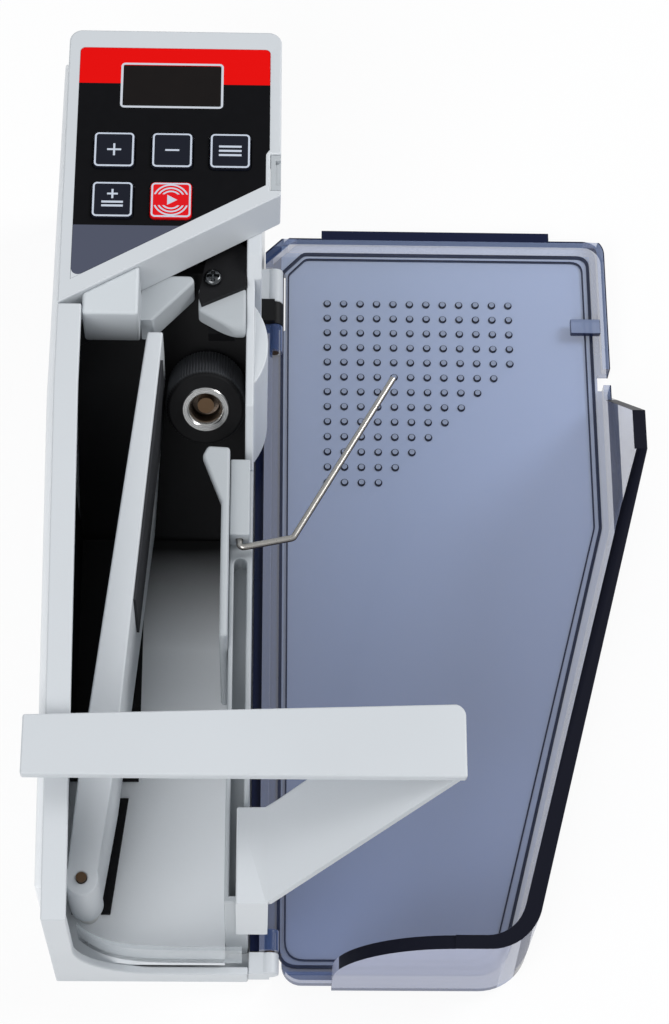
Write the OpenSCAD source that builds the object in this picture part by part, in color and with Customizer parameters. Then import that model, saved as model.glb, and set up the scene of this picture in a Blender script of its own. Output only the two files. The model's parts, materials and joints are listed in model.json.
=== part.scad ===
// Banknote counter with a fold-out receiving tray, shown open.
// X runs across the body, Y along it with the key panel at the +Y end, and Z up.
// The origin is on the table, under the middle of the head's width and of the body's length.
$fn = 64;

/* [Body] */
// Length of the body along Y
body_l = 270; // [262:1:285]
// Width of the head across X
body_w = 65; // [64:0.5:66]
// Height of the head above the table
body_h = 105; // [103:0.5:108]
// Height of the body's top edge at its front end
front_h = 67; // [64:0.5:70]
// Distance from the head's slanted edge to where the top edge starts to slope down
kink_l = 45; // [40:1:50]
// Thickness of the housing's walls
wall = 2.5; // [2:0.1:2.6]
// Width of the left wall's top rim
rim_w = 7; // [5:0.5:7.5]
// Width of the base below the head
base_w = 57.5; // [57:0.1:58]
// Thickness of the rubber pads set flush into the base
pad_h = 1.2; // [0.8:0.1:1.5]
// Diameter of the rubber pads
pad_d = 10; // [8:0.5:14]
// Height of the hopper's floor above the table
floor_z = 12; // [11:0.5:13]
// Height of the low part of the front wall
front_low = 9; // [7:0.5:10]
// Thickness of the cover on the left side
side_t = 2.6; // [2:0.1:3]

/* [Head and panel] */
// Height of the head's skirt
head_t = 17; // [16:0.5:18]
// Distance from the back end to the middle of the head's slanted edge
head_l = 77; // [75:0.5:78]
// Slant of the head's front edge
head_slant = 30; // [28:0.5:31]
// Inset of the printed overlay from the head's sides
label_inset = 3.5; // [3:0.1:4]
// Inset of the printed overlay from the head's back edge
label_back = 6.5; // [6:0.1:8]
// Thickness of the printed overlay
label_t = 0.5; // [0.3:0.1:0.8]
// Width of a square key
key_w = 12.4; // [11.5:0.1:13]
// Distance between two keys
key_pitch = 17.4; // [17:0.1:18]
// Distance from the back end to the upper row of keys
key_back = 43.6; // [42:0.2:45]
// Height of a key above the overlay
key_up = 0.9; // [0.7:0.1:1.5]
// Distance that a key travels
key_travel = 0.6; // [0.3:0.1:0.6]
// Length of the display's window across X
window_l = 29.6; // [26:0.1:31]
// Width of the display's window along Y
window_w = 14.4; // [12:0.1:15]
// Distance from the back end to the display's middle
window_back = 20; // [19:0.2:21]

/* [Feed] */
// Diameter of the feed roller
roller_d = 24.5; // [23:0.1:24.6]
// Length of the feed roller
roller_l = 18; // [15:0.5:18]
// Diameter of the roller's steel hub
hub_d = 14.4; // [13.5:0.1:15]
// Diameter of the motor's shaft
shaft_d = 5; // [4:0.1:6]
// Lean of the roller's axis from upright, towards the front end
roller_lean = 50; // [49:0.5:51]
// Diameter of the motor
motor_d = 22; // [20:0.5:23]
// Length of the motor
motor_l = 28; // [24:0.5:29]

/* [Press lever] */
// Diameter of the lever's pivot pin
lever_pin_d = 3; // [2.5:0.1:3.5]
// Radius of the lever's round end at its pivot
lever_hub_r = 5; // [4:0.1:5.2]
// Drop of the lever's far end below the head's top
lever_drop = 20; // [18:0.5:23]
// Thickness of the black pad on the lever
pad_t = 0.8; // [0.5:0.1:0.8]

/* [Wire finger] */
// Diameter of the steel wire
wire_d = 2; // [1.6:0.1:2.4]
// Reach of the wire's tip from its pivot across X
wire_reach = 46.5; // [40:0.5:48]
// Reach of the wire's tip along Y from its bend
wire_rise = 54; // [46:0.5:56]

/* [Note bracket] */
// Length of the bracket's bar across X
bar_l = 124; // [116:1:126]
// Width of the bracket's bar along Y
bar_w = 17.7; // [16:0.1:19]
// Clearance of the bar above the left wall's rim
bar_gap = 2.4; // [2:0.1:4]
// Thickness of the bracket's plates
bracket_t = 3; // [2.5:0.1:3.4]
// Length of the bracket's foot along Y
foot_l = 28.5; // [26:0.5:29]

/* [Tray] */
// Thickness of the tray's floor and walls
tray_t = 2.6; // [2.2:0.1:3]
// Width of the tray from its hinge side to its far side
tray_w = 114.8; // [112:0.2:116]
// Thickness of the tray's tall wall
tray_wall_t = 4; // [3:0.1:4.5]
// Height of the tray's tall wall above the table
tray_wall = 66; // [62:0.5:67]
// Height of the tray's front wall above the table
tray_front = 50; // [47:0.5:52]
// Height of the tray's low rim above the table
tray_low = 9; // [8:0.5:10]
// Diameter of the tray's hinge pins
hinge_d = 3; // [2.6:0.1:3.4]

/* [Fits] */
// Clearance of a pin or shaft in the hole that it turns in, on the radius
run_fit = 0.05; // [0.02:0.01:0.08]
// Clearance between fixed pieces that fit together
seat_fit = 0.1; // [0.05:0.01:0.2]
// Clearance round a key in its hole
key_fit = 0.3; // [0.2:0.05:0.4]

/* [Hidden] */
left_x = -body_w / 2;
right_x = body_w / 2;
base_right = left_x + base_w;
back_y = body_l / 2;
front_y = -body_l / 2;
base_top = wall;
head_y = back_y - head_l;
kink_y = head_y - kink_l;
key_y = back_y - key_back;
window_y = back_y - window_back;
slope = (body_h - front_h) / (kink_y - front_y);
skirt_z = body_h - head_t;
head_left_y = head_y + left_x * tan(head_slant);
head_right_y = head_y + right_x * tan(head_slant);
plate_z = body_h - wall;

function top_z(y) = y > kink_y ? body_h : body_h - slope * (kink_y - y);
function slant_y(x) = head_y + x * tan(head_slant);

// The hopper between the left wall and the right wall
inner_left = left_x + wall;
hopper_right = base_right - 6.8;
hopper_wall_z = 58;
hopper_front = front_y + 8;
hopper_back = head_y - 50;
floor_t = 2;

// The roller's near end, and the frame that its axis sets
roller_at = [hopper_right - 7.8, head_y - 32.9, body_h - 40];
plate_gap = 2;
plate_t = 2.5;
plate_front = roller_l + plate_gap;
motor_front = plate_front + plate_t;
shaft_recess = 3;
shaft_in = 12;

function ramp_front(z) = roller_at[1] + plate_front * sin(roller_lean)
    + (z - roller_at[2] + plate_front * cos(roller_lean)) / tan(roller_lean);

// The lever's pivot and its outline seen from above
pivot = [left_x + 9.7, front_y + 17.5];
lever_far_y = head_y - 17;
lever_far_x = [left_x + 25.4, left_x + 30.2];
lever_mid_y = front_y + 45;
lever_mid_x = [left_x + 8, left_x + 18];
lever_low = floor_z + 9;
lever_fall = 0.225;
lever_under = body_h - 47;
lever_top = body_h - lever_drop;
pin_low = 1;
spring_d = 6.4;
pin_top = lever_top - lever_fall * (lever_far_y - pivot[1]) + 0.8;

// The wire's pivot line lies along Y above the hopper's right wall
wire_at = [base_right - 3.8, hopper_wall_z + 4];
wire_corner = [wire_at[0] + 16, hopper_back - 24.1];
wire_start_y = hopper_back - 27.5;
bush_y = [hopper_back - 25, hopper_back];
bush_w = 6;
bush_top = hopper_wall_z + 8;

// The bracket's foot straddles the front end of the hopper's right wall
foot_y = hopper_front - 1.5;
foot_back = foot_y + foot_l;
foot_left = hopper_right + 3.3;
foot_right = base_right + 5.6;
foot_top = hopper_wall_z + 4;
foot_low = 30;
track_x = [hopper_right + 1.4, hopper_right + 5.2];
track_y = [hopper_front + 12, hopper_back - 31];
track_deep = 8;
bar_y = front_y + 36;
bar_z = top_z(bar_y + bar_w) + bar_gap + bracket_t;
bar_right = left_x - 5.9 + bar_l;
wing_rise = bar_z - 1.5 - foot_top;
wing_run = bar_right - foot_right;
wing_angle = atan2(wing_rise, wing_run);

// The tray turns about a line along Y beside the base
hinge_out = 6.4;
hinge_x = base_right + hinge_out;
hinge_z = 6.6;
knuckle_r = 2.8;
tray_left = base_right + 3.2;
tray_right = tray_left + tray_w;
tray_z = 2;
tray_floor = tray_z + tray_t;
tray_front_y = front_y - 1.5;
tray_back_y = back_y - 13.7;
tray_corner_x = tray_right - slope * (kink_y - tray_front_y);
tray_end_y = head_y + 5;
corner_r = 14;
back_rim = 0.6;
shoulder_x = tray_left + 55.8;
shoulder_r = 34;
tray_over = tray_wall_t - tray_t;
knuckle_back = [head_y + 18, head_y + 28, head_y + 36.3, head_y + 49];
knuckle_front = [front_y + 14, front_y + 7.3, front_y + 7, front_y + 0.5];
hinge_gap = 0.3;
relief_x = hinge_x + knuckle_r + 0.8;

// The panel's keys, display and board
key_x = [-17.6, -17.6 + key_pitch, -17.6 + 2 * key_pitch];
key_low_y = key_y - key_pitch;
key_top = body_h + key_up;
flange_over = 1;
flange_t = 1.2;
board_t = 1.6;
board_z = plate_z - 8.5;
switch_w = 6;
switch_h = 3.5;
plunger_d = 3.2;
plunger_h = 0.8;
stem_d = 3;
stem_low = board_z + board_t + switch_h + plunger_h + key_travel + 0.2;
lens_t = 1.6;
module_gap = 0.3;
post_d = 5;
board_x = right_x - 3.5;
post_x = right_x - 8.5;
post_at = [[-post_x, back_y - 13], [post_x, back_y - 13], [post_x + 2.5, back_y - 54],
    [-post_x, back_y - 75]];
screw_d = 2;

window_x = -0.8;
catch_w = 3.2;
catch_t = 3;
catch_y = [back_y - 56.5, back_y - 44];
screw_at = [base_right - 12.7, head_y + 1.8];
cap_z = skirt_z - 6;
cap_t = 2;
nose_low = skirt_z - 13.4;

// The power inlet and the battery compartment under the head
jack_x = left_x + 20.5;
jack_z = 45;
cell_d = 14.2;
cell_l = 49.5;
cell_n = 4;
cell_pitch = 15;
cell_x = left_x + 3.5;
holder_t = 1.2;
door_x = [left_x + 5.5, base_right - 4];
cell_in = 6.6;
end_gap = 0.5;
door_y = back_y - wall - seat_fit - holder_t - end_gap - cell_d / 2 - (cell_n - 1) * cell_pitch - cell_in;
cell_y = door_y + cell_in;
rail_in = 1.5;
rail_z = [0.7, 1.6];

// Shared shapes

// A box between two corners
module block(a, b) {
    translate(a) cube(b - a);
}

// A plate with its outline in the YZ plane, from x0 to x1
module side_plate(x0, x1, points) {
    translate([x0, 0, 0])
        rotate([90, 0, 90])
            linear_extrude(x1 - x0) polygon(points);
}

// A round bar along Y
module y_bar(x, z, y0, y1, d) {
    translate([x, y1, z])
        rotate([90, 0, 0]) cylinder(d = d, h = y1 - y0);
}

// A rectangle with round corners, around its middle
module round_rect(w, h, r) {
    square([w - 2 * r, h], center = true);
    square([w, h - 2 * r], center = true);
    for (sx = [-1, 1], sy = [-1, 1])
        translate([sx * (w / 2 - r), sy * (h / 2 - r)]) circle(r);
}

// The head's outline seen from above, drawn in by an inset, with round back corners
module head_outline(inset, r) {
    x0 = left_x + inset;
    x1 = right_x - inset;
    y1 = back_y - inset;
    lift = inset / cos(head_slant);
    difference() {
        polygon([[x0, slant_y(x0) + lift], [x1, slant_y(x1) + lift], [x1, y1], [x0, y1]]);
        for (s = [[x0, 1], [x1, -1]])
            translate([s[0], y1]) difference() {
                square(2 * r, center = true);
                translate([s[1] * r, -r]) circle(r);
            }
    }
}

// The overlay's outline, with a step beside the latch catch
module label_outline(grow) {
    x0 = left_x + label_inset - grow;
    x1 = right_x - label_inset + grow;
    y1 = back_y - label_back + grow;
    lift = (label_inset - grow) / cos(head_slant) + 2;
    catch_x = right_x - catch_w - 1.4 + grow;
    r = 1.6;
    difference() {
        polygon([
            [x0, slant_y(x0) + lift], [catch_x, slant_y(catch_x) + lift], [catch_x, catch_y[1]],
            [x1, catch_y[1] + 1.5], [x1, y1], [x0, y1]
        ]);
        for (c = [[x0, 1], [x1, -1]])
            translate([c[0], y1]) difference() {
                square(2 * r, center = true);
                translate([c[1] * r, -r]) circle(r);
            }
    }
}

// The places of the five keys
function key_at(i) = i < 3 ? [key_x[i], key_y] : [key_x[i - 3], key_low_y];

// The frame of the feed roller: its axis along Z, its near end at the origin
module feed_frame() {
    translate(roller_at) rotate([roller_lean, 0, 0]) children();
}

// A straight stretch of round wire between two points in the XY plane, longer by d at each end
module wire_straight(a, b) {
    v = b - a;
    translate(a) rotate([0, 0, atan2(v[1], v[0])]) translate([-wire_d, 0, 0])
        rotate([0, 90, 0]) cylinder(d = wire_d, h = norm(v) + 2 * wire_d);
}

// The half of space behind a corner of the wire, or ahead of it, cut square to a heading
module wire_side(p, heading, ahead) {
    reach = 4 * wire_d;
    translate(p) rotate([0, 0, heading]) translate([ahead ? 0 : -reach, -reach / 2, -reach / 2]) cube(reach);
}

// Housing

// The lower shell: base plate, left wall with its rim, front wall, back wall and floor rails
module base_shell() {
    rail_w = 2;
    jack_d = 8;
    color("whitesmoke") difference() {
        union() {
            block([left_x, front_y, 0], [base_right, back_y, base_top]);
            side_plate(left_x, inner_left, [
                [front_y, base_top], [front_y, front_h], [kink_y, body_h], [head_left_y - seat_fit, body_h],
                [head_left_y - seat_fit, skirt_z], [back_y, skirt_z], [back_y, base_top]
            ]);
            side_plate(inner_left, left_x + rim_w, [
                [front_y, front_h - wall], [front_y, front_h], [kink_y, body_h],
                [head_left_y - seat_fit, body_h], [head_left_y - seat_fit, body_h - wall],
                [kink_y, body_h - wall]
            ]);
            front_wall();
            block([inner_left, back_y - wall, base_top], [base_right, back_y, skirt_z]);
            for (x = [inner_left, hopper_right - 4])
                block([x, front_y + 10, base_top], [x + rail_w, hopper_back - 11, floor_z - floor_t]);
            hinge_arm(knuckle_back[2], knuckle_back[3]);
            hinge_arm(knuckle_front[3], knuckle_front[2]);
        }
        block([door_x[0] - seat_fit, door_y, -1], [door_x[1] + seat_fit, back_y + 1, base_top + 1]);
        block([door_x[0] - rail_in - seat_fit, door_y, rail_z[0] - seat_fit],
            [door_x[1] + rail_in + seat_fit, back_y + 1, rail_z[1] + seat_fit]);
        pads(pad_d + 2 * seat_fit, pad_h);
        translate([jack_x, back_y + 1, jack_z])
            rotate([90, 0, 0]) cylinder(d = jack_d + 2 * seat_fit, h = wall + 2);
        y_bar(hinge_x, hinge_z, knuckle_back[2] - 1, knuckle_back[3] - 2, hinge_d);
        y_bar(hinge_x, hinge_z, knuckle_front[3] + 2, knuckle_front[2] + 1, hinge_d);
        translate([pivot[0], pivot[1], pin_low]) cylinder(d = lever_pin_d, h = wall);
    }
}

// The front wall, low on the right and swept up to the left wall
module front_wall() {
    sweep = 24;
    x0 = left_x + rim_w;
    translate([0, front_y + wall, 0])
        rotate([90, 0, 0]) linear_extrude(wall) {
            translate([left_x, base_top]) square([rim_w, front_h - base_top]);
            translate([left_x, base_top]) square([base_w, front_low - base_top]);
            difference() {
                translate([x0, front_low]) square(sweep);
                translate([x0 + sweep, front_low + sweep]) circle(sweep);
            }
        }
}

// An arm of the base that holds a hinge pin
module hinge_arm(y0, y1) {
    block([base_right - 1, y0, 1], [hinge_x, y1, base_top]);
    block([base_right + seat_fit, y0, 1], [hinge_x, y1, hinge_z + 2]);
    y_bar(hinge_x, hinge_z, y0, y1, 2 * knuckle_r);
}

// The flat cover on the left side
module left_side_cover() {
    drop = 9;
    end = 11;
    back_end = 0.6;
    color("whitesmoke")
        side_plate(left_x - side_t, left_x, [
            [front_y + end, base_top], [front_y + end, top_z(front_y + end) - drop], [kink_y, body_h - drop],
            [back_y - back_end, body_h - drop - head_t / 2], [back_y - back_end, base_top]
        ]);
}

// The head: a box open below, with the panel's recess and holes in its top
module head_cover() {
    color("whitesmoke") difference() {
        union() {
            difference() {
                translate([0, 0, skirt_z]) linear_extrude(head_t) head_outline(0, 4);
                translate([0, 0, skirt_z - 1]) linear_extrude(head_t - wall + 1) head_outline(wall, 2);
            }
            for (p = post_at)
                translate([p[0], p[1], board_z + board_t])
                    cylinder(d = post_d, h = plate_z - board_z - board_t);
        }
        translate([0, 0, body_h - label_t]) linear_extrude(label_t + 1) label_outline(seat_fit);
        for (i = [0:4])
            translate([key_at(i)[0], key_at(i)[1], plate_z - 1])
                linear_extrude(wall + 2) round_rect(key_w + 2 * key_fit, key_w + 2 * key_fit, 1.8);
        translate([window_x, window_y, plate_z - 1])
            linear_extrude(wall + 2)
                square([window_l + 2 * seat_fit, window_w + 2 * seat_fit], center = true);
        block([right_x - catch_w, catch_y[0], body_h - catch_t], [right_x + 1, catch_y[1], body_h + 1]);
        for (p = post_at)
            translate([p[0], p[1], board_z + board_t - 1]) cylinder(d = screw_d, h = 5);
    }
}

// The wall on the right of the feed, with a round bulge beside the roller
module feed_housing() {
    bulge_r = 23.9;
    bulge_at = [base_right - 19.7, head_y - 15.8];
    bulge_z = [20, skirt_z - 13];
    back_end = back_y - wall - seat_fit;
    thick_x = base_right + 2;
    color("whitesmoke") {
        difference() {
            side_plate(base_right - wall, base_right, [
                [hopper_back + seat_fit, base_top], [hopper_back + seat_fit, hopper_wall_z],
                [hopper_back + 14, skirt_z - 14], [head_y, skirt_z - 6], [head_y + 8, skirt_z],
                    [back_end, skirt_z],
                [back_end, base_top]
            ]);
            feed_frame() translate([0, 0, -roller_l - 1]) cylinder(d = roller_d + 1.2, h = roller_l + 2);
        }
        side_plate(base_right - 0.5, thick_x, [
            [head_y + 2, bulge_z[0]], [head_y + 2, skirt_z - 4.5], [head_y + 8, skirt_z], [back_end, skirt_z],
            [back_end, bulge_z[0]]
        ]);
        intersection() {
            translate([bulge_at[0], bulge_at[1], bulge_z[0]]) difference() {
                cylinder(r = bulge_r, h = bulge_z[1] - bulge_z[0]);
                translate([0, 0, -1]) cylinder(r = bulge_r - wall, h = bulge_z[1] - bulge_z[0] - wall + 1);
            }
            block([base_right - 0.5, 0, 0], [right_x, body_l / 2, body_h]);
        }
    }
}

// Hopper

// The wall between the hopper and the tray, hollow below, with the bracket's track in its top
module hopper_right_wall() {
    skin = 2;
    web_z = hopper_wall_z - track_deep - 4;
    mid = (track_x[0] + track_x[1]) / 2;
    color("whitesmoke") difference() {
        block([hopper_right, hopper_front, base_top], [base_right, hopper_back, hopper_wall_z]);
        block([hopper_right + skin, hopper_front + skin, base_top - 1],
            [base_right - skin, hopper_back - skin, web_z]);
        block([track_x[0], track_y[0] + 2, hopper_wall_z - track_deep],
            [track_x[1], track_y[1], hopper_wall_z + 1]);
        block([track_x[0], hopper_front + 2, hopper_wall_z - track_deep],
            [track_x[1], track_y[0] + 3, hopper_wall_z + 1]);
        translate([mid, track_y[1], hopper_wall_z - track_deep])
            cylinder(d = track_x[1] - track_x[0], h = track_deep + 1);
    }
}

// The grey floor, with a hole for the lever's pin
module hopper_floor() {
    color("gainsboro") difference() {
        block([inner_left + seat_fit, front_y + wall + seat_fit, floor_z - floor_t],
            [hopper_right - seat_fit, ramp_front(floor_z - floor_t) - run_fit, floor_z]);
        translate([pivot[0], pivot[1], floor_z - floor_t - 1])
            cylinder(d = lever_pin_d + 1.6, h = floor_t + 2);
    }
}

// The black lining on the hopper's left side, on the floor behind the lever and beside its foot
module hopper_liner() {
    lining_t = 1;
    lining_top = 60;
    liner_y = [front_y + 59, ramp_front(floor_z) - 2.7];
    wedge_y = [front_y + 17.2, front_y + 53.5];
    spring_room = spring_d + 1;
    color("black") {
        block([inner_left + seat_fit, liner_y[0], floor_z], [left_x + 23.5, liner_y[1], floor_z + lining_t]);
        block([inner_left + seat_fit, liner_y[0], floor_z],
            [inner_left + seat_fit + lining_t, liner_y[1], lining_top]);
        translate([0, 0, floor_z]) linear_extrude(lining_t) difference() {
            polygon([[left_x + 5.5, wedge_y[1]], [left_x + 20.6, wedge_y[1]], [left_x + 16.2, wedge_y[0]],
                [left_x + 4.6, wedge_y[0]]]);
            translate(pivot) circle(d = spring_room);
        }
    }
}

// The curved strip inside the front wall that the notes' lower edges run on
module front_guide() {
    strip_t = 1.2;
    strip_h = 14;
    sweep = 7;
    x0 = left_x + rim_w;
    x1 = hopper_right + 5;
    steps = 24;
    function strip_y(x) = front_y + wall + 0.2 + sweep * pow((x1 - x) / (x1 - x0), 6);
    xs = [for (i = [0:steps]) x0 + (x1 - x0) * i / steps];
    color("aliceblue")
        translate([0, 0, floor_z]) linear_extrude(strip_h)
            polygon(concat(
                [for (x = xs) [x, strip_y(x)]],
                [for (i = [steps:-1:0]) [xs[i], strip_y(xs[i]) + strip_t]]
            ));
}

// Guides round the feed

// The three-cornered guide under the head's slanted edge
module left_guide() {
    guide_t = 12;
    web_h = 16;
    web_t = 2.4;
    guide_x = left_x + 22.5;
    tip_y = lever_far_y + 2;
    shelf_y = head_y - 21.7;
    shelf_x = [left_x + rim_w + seat_fit, guide_x + 1];
    shelf_drop = 1;
    shelf_in = 1;
    function shelf_back(x) = slant_y(x) - seat_fit;
    web_x = [inner_left + seat_fit, guide_x + 0.5];
    function web_y(x) = slant_y(x) + 0.3;
    color("whitesmoke") {
        translate([0, 0, skirt_z - guide_t])
            linear_extrude(guide_t) polygon([[guide_x, slant_y(guide_x) + 6.5], [guide_x + 16, head_y + 0.6],
                [guide_x + 17, head_y - 1.4], [guide_x + 4.5, tip_y], [guide_x + 0.5, tip_y],
                    [guide_x, tip_y + 0.5]]);
        translate([0, 0, skirt_z - web_h]) linear_extrude(web_h)
            polygon([[web_x[0], web_y(web_x[0])], [web_x[1], web_y(web_x[1])],
                [web_x[1], web_y(web_x[1]) + web_t],
                [web_x[0], web_y(web_x[0]) + web_t]]);
        translate([0, 0, skirt_z - shelf_in]) linear_extrude(head_t + shelf_in - shelf_drop)
            polygon([[shelf_x[0], shelf_y], [shelf_x[1], shelf_y], [shelf_x[1], shelf_back(shelf_x[1])],
                [shelf_x[0], shelf_back(shelf_x[0])]]);
    }
}

// The round-nosed guide on the right of the opening
module upper_guide() {
    nose_r = 3.7;
    low = nose_low;
    x0 = base_right - 17;
    x1 = base_right - wall - seat_fit;
    color("whitesmoke") intersection() {
        union() {
            block([x0, head_y - 11, low], [x1, head_y, low + 2 * nose_r]);
            translate([x0, head_y - 11, low + nose_r]) rotate([0, 90, 0]) cylinder(r = nose_r, h = x1 - x0);
        }
        translate([0, 0, low - 1]) linear_extrude(2 * nose_r + 2)
            polygon([[x0, head_y], [x0, head_y - 8], [x1 - 1, head_y - 16], [x1, head_y - 16], [x1, head_y]]);
    }
}

// The plate that parts the counted notes from the stack below the roller
module lower_guide() {
    guide_top = roller_at[2] + 5;
    nose_z = guide_top - 4;
    x0 = hopper_right - 2.5;
    x1 = hopper_right - seat_fit;
    fold_y = hopper_back - 16;
    end_y = hopper_back - 59;
    color("whitesmoke") {
        block([x0, end_y, floor_z], [x1, fold_y, guide_top]);
        translate([0, 0, nose_z]) linear_extrude(guide_top - nose_z)
            polygon([
                [hopper_right - 8.4, hopper_back - 0.6], [hopper_right - 6.8, hopper_back + 2.6],
                [x1, hopper_back + 2.2], [x1, fold_y - 4], [x0, fold_y - 4], [x0, fold_y]
            ]);
    }
}

// The black cap over the feed's outlet
module feed_cap() {
    x0 = base_right - 17;
    x1 = base_right - wall - seat_fit;
    color("black") difference() {
        translate([0, 0, cap_z]) linear_extrude(cap_t)
            polygon([[x0, head_y - 4], [x0 + 2, head_y + 8], [x0 + 12, slant_y(20) + 3], [x1, slant_y(22)],
                [x1, head_y - 0.5], [x0 + 1, head_y - 7]]);
        translate([screw_at[0], screw_at[1], cap_z - 1]) cylinder(d = screw_d, h = cap_t + 2);
    }
}

// Panel

// The printed overlay with the holes for the keys and the window
module panel_overlay() {
    color("black") translate([0, 0, body_h - label_t]) linear_extrude(label_t) difference() {
        label_outline(0);
        for (i = [0:4])
            translate(key_at(i)) round_rect(key_w + 2 * key_fit, key_w + 2 * key_fit, 1.8);
        translate([window_x, window_y])
            square([window_l + 2 * seat_fit, window_w + 2 * seat_fit], center = true);
    }
}

// The dark lens over the display
module display_window() {
    color("dimgray") translate([window_x, window_y, body_h - lens_t / 2])
        cube([window_l, window_w, lens_t], center = true);
}

// The digit display under the lens
module display_module() {
    low = board_z + board_t;
    high = body_h - lens_t - module_gap;
    color("darkred") translate([window_x - window_l / 2, window_y - window_w / 2, low])
        cube([window_l, window_w, high - low]);
}

// The circuit board that carries the display and the key switches
module control_board() {
    color("darkgreen") difference() {
        translate([0, 0, board_z]) linear_extrude(board_t)
            polygon([[-board_x, back_y - 9], [board_x, back_y - 9], [board_x, back_y - 55.5],
                [-board_x, back_y - 80]]);
        for (p = post_at)
            translate([p[0], p[1], board_z - 1]) cylinder(d = screw_d + 0.4, h = board_t + 2);
    }
}

// The five switches under the keys
module key_switches() {
    color("silver") for (i = [0:4])
        translate([key_at(i)[0], key_at(i)[1], board_z + board_t]) {
            translate([-switch_w / 2, -switch_w / 2, 0]) cube([switch_w, switch_w, switch_h]);
            translate([0, 0, switch_h]) cylinder(d = plunger_d, h = plunger_h);
        }
}

// One key: a cap, a flange that keeps it in, and a stem over its switch
module key_cap(i, tint) {
    flange_z = plate_z - key_fit - flange_t;
    color(tint) translate(key_at(i)) {
        translate([0, 0, flange_z + flange_t])
            linear_extrude(key_top - flange_z - flange_t) round_rect(key_w, key_w, 1.5);
        translate([0, 0, flange_z])
            linear_extrude(flange_t) square(key_w + 2 * flange_over, center = true);
        translate([0, 0, stem_low]) cylinder(d = stem_d, h = flange_z - stem_low);
    }
}

module key_plus() { key_cap(0, "midnightblue"); }
module key_minus() { key_cap(1, "midnightblue"); }
module key_batch() { key_cap(2, "midnightblue"); }
module key_add() { key_cap(3, "midnightblue"); }
module key_start() { key_cap(4, "red"); }

// Feed drive

// The black ramp behind the roller, which carries the motor
module feed_plate() {
    boss_d = 8;
    color("black") difference() {
        intersection() {
            feed_frame() translate([-60, -90, -plate_front - plate_t]) cube([120, 180, plate_t]);
            block([inner_left + seat_fit, hopper_back - 28, base_top],
                [base_right - wall - seat_fit, back_y - wall - seat_fit, skirt_z - 8]);
        }
        block([hopper_right - seat_fit, hopper_back - 28, 0], [base_right, hopper_back + seat_fit, body_h]);
        feed_frame() translate([0, 0, -plate_front - plate_t - 1]) cylinder(d = boss_d, h = plate_t + 2);
    }
}

// The motor behind the ramp
module motor() {
    color("silver") feed_frame() difference() {
        translate([0, 0, -motor_front - motor_l]) cylinder(d = motor_d, h = motor_l);
        translate([0, 0, -motor_front - shaft_in]) cylinder(d = shaft_d + 2 * run_fit, h = shaft_in + 1);
    }
}

// The bush in the ramp round the motor's shaft
module shaft_bush() {
    color("goldenrod") feed_frame() translate([0, 0, -motor_front]) difference() {
        cylinder(d = 8, h = plate_t);
        translate([0, 0, -1]) cylinder(d = shaft_d + 2 * run_fit, h = plate_t + 2);
    }
}

// The motor's shaft
module motor_shaft() {
    tail = 0.5;
    color("peru") feed_frame()
        translate([0, 0, -motor_front - shaft_in + tail])
            cylinder(d = shaft_d, h = motor_front + shaft_in - tail - shaft_recess);
}

// The steel hub with its stepped bore
module roller_hub() {
    step_d = 9;
    step_deep = 6;
    color("lightgray") feed_frame() difference() {
        translate([0, 0, -roller_l]) cylinder(d = hub_d, h = roller_l + 0.6);
        translate([0, 0, -roller_l - 1]) cylinder(d = shaft_d, h = roller_l + 2);
        translate([0, 0, -step_deep]) cylinder(d = step_d, h = step_deep + 1);
    }
}

// The rubber feed roller on its hub
module feed_roller() {
    nose_l = 2;
    nose_in = 1;
    color("black") feed_frame() translate([0, 0, -roller_l]) difference() {
        union() {
            cylinder(d = roller_d, h = roller_l - nose_l);
            translate([0, 0, roller_l - nose_l])
                cylinder(d1 = roller_d, d2 = roller_d - 2 * nose_in, h = nose_l);
        }
        translate([0, 0, -1]) cylinder(d = hub_d, h = roller_l + 2);
    }
}

// The light sensor that counts the notes, under the round-nosed guide
module count_sensor() {
    color("black") block([base_right - 14, head_y - 12, nose_low - 4.6],
        [base_right - 6, head_y - 6, nose_low]);
}

// Press lever

// The long white lever that presses the notes towards the roller
module press_lever() {
    end_y = pivot[1] - lever_hub_r - 1;
    ramp_y = hopper_back - 5;
    arm_end_r = lever_hub_r - 0.6;
    color("whitesmoke") difference() {
        intersection() {
            union() {
                linear_extrude(body_h) polygon([
                    [lever_far_x[0], lever_far_y], [lever_far_x[1], lever_far_y],
                        [lever_mid_x[1], lever_mid_y],
                    [pivot[0] + arm_end_r, pivot[1]], [pivot[0] - arm_end_r, pivot[1]],
                        [lever_mid_x[0], lever_mid_y]
                ]);
                translate(pivot) cylinder(r = lever_hub_r, h = body_h);
            }
            side_plate(left_x, right_x, [
                [end_y, lever_low], [ramp_y, lever_low], [lever_far_y + 1, lever_under],
                [lever_far_y + 1, lever_top], [end_y, lever_top - lever_fall * (lever_far_y - end_y)]
            ]);
        }
        translate(pivot) cylinder(d = lever_pin_d + 2 * run_fit, h = body_h);
    }
}

// The black pad on the lever's right face
module lever_pad() {
    pad_y = [lever_far_y - 79, lever_far_y - 8];
    pad_low = [lever_under - 18, lever_under - 5];
    margin = 1.5;
    run = (lever_far_x[1] - lever_mid_x[1]) / (lever_far_y - lever_mid_y);
    pad_l = (pad_y[1] - pad_y[0]) / cos(atan(run));
    function pad_top(y) = lever_top - lever_fall * (lever_far_y - y) - margin;
    color("black")
        translate([lever_far_x[1] - run * (lever_far_y - pad_y[0]), pad_y[0], 0]) rotate([0, 0, -atan(run)])
            side_plate(0, pad_t, [
                [0, pad_low[0]], [pad_l, pad_low[1]], [pad_l, pad_top(pad_y[1])], [0, pad_top(pad_y[0])]
            ]);
}

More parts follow.
